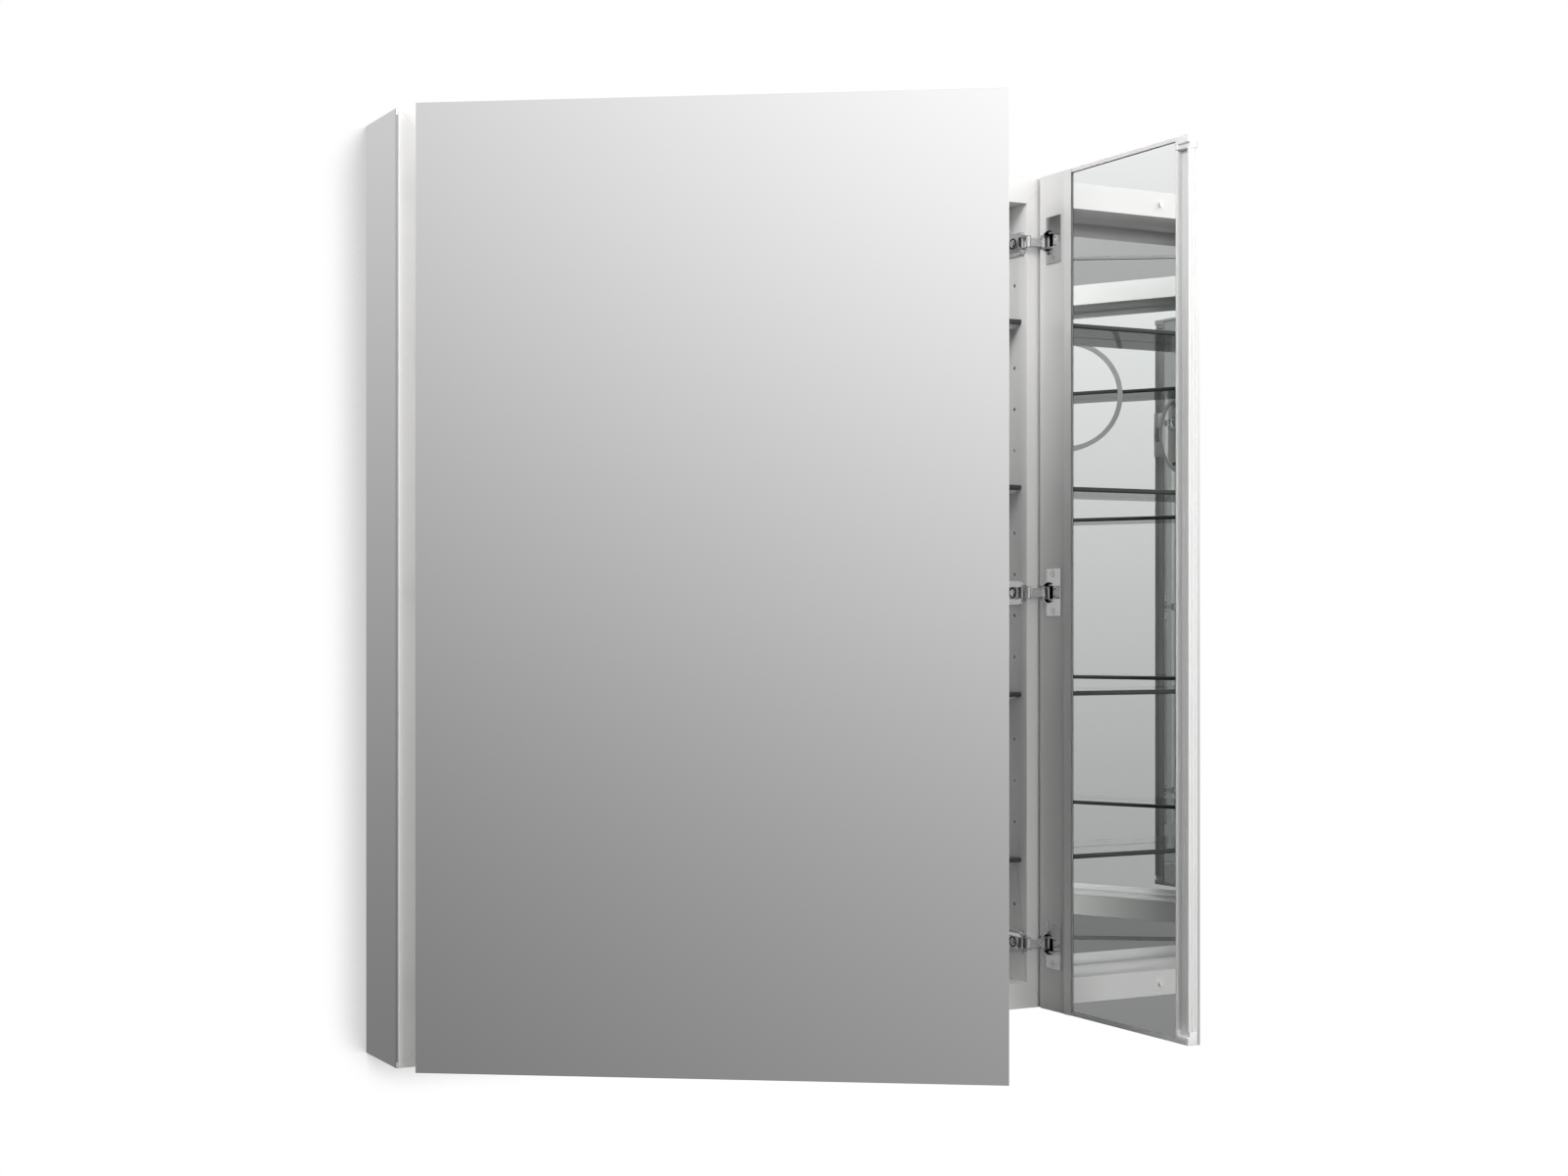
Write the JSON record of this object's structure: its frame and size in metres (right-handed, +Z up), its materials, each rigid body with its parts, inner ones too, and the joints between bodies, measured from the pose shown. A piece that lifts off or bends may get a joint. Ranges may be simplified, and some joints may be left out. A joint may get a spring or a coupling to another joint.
{
  "type": "medicine cabinet",
  "caption": "Shallow wall cabinet with a wide and a narrow mirrored door on concealed hinges, mirrored back and sides, glass shelves and a swing-out magnifying mirror.",
  "frame": {"origin": "on the wall plane, at the centre of the back of the case", "axes": "+Z up, +X to the right as seen by a person facing the doors, +Y into the wall; the doors face -Y"},
  "size_m": [0.8658, 0.4165, 1.016],
  "materials": {
    "chrome": "polished",
    "mirror": "polished",
    "white_metal": "satin",
    "steel": "zinc plated",
    "satin_aluminium": "satin",
    "clear_plastic": "gloss",
    "grey_board": "matt",
    "white_plastic": "satin",
    "bright_aluminium": "bright",
    "smoked_glass": "polished"
  },
  "bodies": {
    "cabinet": {"arm_pins": "chrome", "arm_screws": "chrome", "back_mirror": "mirror", "back_panel": "white_metal", "back_stiffener": "steel", "case_bottom": "satin_aluminium", "case_left_side": "satin_aluminium", "case_right_side": "satin_aluminium", "case_top": "satin_aluminium", "corner_keys": "steel", "door_bumpers": "clear_plastic", "hanging_rail": "steel", "hinge_arms": "chrome", "hinge_plates": "chrome", "left_side_mirror": "mirror", "plate_screws": "chrome", "right_side_mirror": "mirror", "shelf_1": "smoked_glass", "shelf_2": "smoked_glass", "shelf_3": "smoked_glass", "shelf_4": "smoked_glass", "shelf_supports": "clear_plastic", "wall_rail": "steel"},
    "left_links": {"left_hinge_links": "chrome", "left_link_pins": "chrome"},
    "left_yokes": {"left_hinge_yokes": "chrome"},
    "left_door": {"left_door_front_mirror": "mirror", "left_door_hinge_stile": "satin_aluminium", "left_door_free_stile": "bright_aluminium", "left_door_corner_caps": "white_plastic", "left_door_top_rail": "satin_aluminium", "left_door_bottom_rail": "satin_aluminium", "left_door_backing_board": "grey_board", "left_door_inner_mirror": "mirror", "left_door_hinge_cups": "chrome", "left_door_hub_pins": "chrome", "left_door_cup_screws": "chrome"},
    "right_links": {"right_hinge_links": "chrome", "right_link_pins": "chrome"},
    "right_yokes": {"right_hinge_yokes": "chrome"},
    "right_door": {"right_door_front_mirror": "mirror", "right_door_hinge_stile": "satin_aluminium", "right_door_free_stile": "bright_aluminium", "right_door_corner_caps": "white_plastic", "right_door_top_rail": "satin_aluminium", "right_door_bottom_rail": "satin_aluminium", "right_door_backing_board": "grey_board", "right_door_inner_mirror": "mirror", "right_door_hinge_cups": "chrome", "right_door_hub_pins": "chrome", "right_door_cup_screws": "chrome"},
    "magnifier_slider": {"magnifier_clip": "white_plastic"},
    "magnifier": {"magnifier_ring": "chrome", "magnifier_glass": "mirror", "magnifier_back": "chrome", "magnifier_pin": "chrome"}
  },
  "joints": [
    {"name": "left_link_swing", "type": "hinge", "parent": "cabinet", "child": "left_links", "pos_m": [-0.398, -0.0915, 0], "axis": [0, 0, -1], "range_deg": [0, 63.3]},
    {"name": "left_yoke_turn", "type": "hinge", "parent": "left_links", "child": "left_yokes", "pos_m": [-0.4052, -0.11138, 0], "axis": [0, 0, -1], "range_deg": [-93, 0]},
    {"name": "left_door_swing", "type": "hinge", "parent": "left_yokes", "child": "left_door", "pos_m": [-0.41171, -0.11038, 0], "axis": [0, 0, -1], "range_deg": [0, 75]},
    {"name": "right_link_swing", "type": "hinge", "parent": "cabinet", "child": "right_links", "pos_m": [0.398, -0.0915, 0], "axis": [0, 0, 1], "range_deg": [-32, 0]},
    {"name": "right_yoke_turn", "type": "hinge", "parent": "right_links", "child": "right_yokes", "pos_m": [0.419, -0.094, 0], "axis": [0, 0, 1], "range_deg": [0, 47]},
    {"name": "right_door_swing", "type": "hinge", "parent": "right_yokes", "child": "right_door", "pos_m": [0.42515, -0.09635, 0], "axis": [0, 0, 1], "range_deg": [-90, 0]},
    {"name": "magnifier_slide", "type": "slide", "parent": "left_door", "child": "magnifier_slider", "axis": [0, 0, 1], "range_m": [-0.35, 0.08]},
    {"name": "magnifier_swing", "type": "hinge", "parent": "magnifier_slider", "child": "magnifier", "pos_m": [0.111, -0.39085, 0.3], "axis": [0, 0, -1], "range_deg": [0, 170]}
  ],
  "couplings": [
    {"joint": "left_link_swing", "follows": "left_yoke_turn", "ratio": -0.6806},
    {"joint": "right_link_swing", "follows": "right_yoke_turn", "ratio": -0.6806}
  ]
}
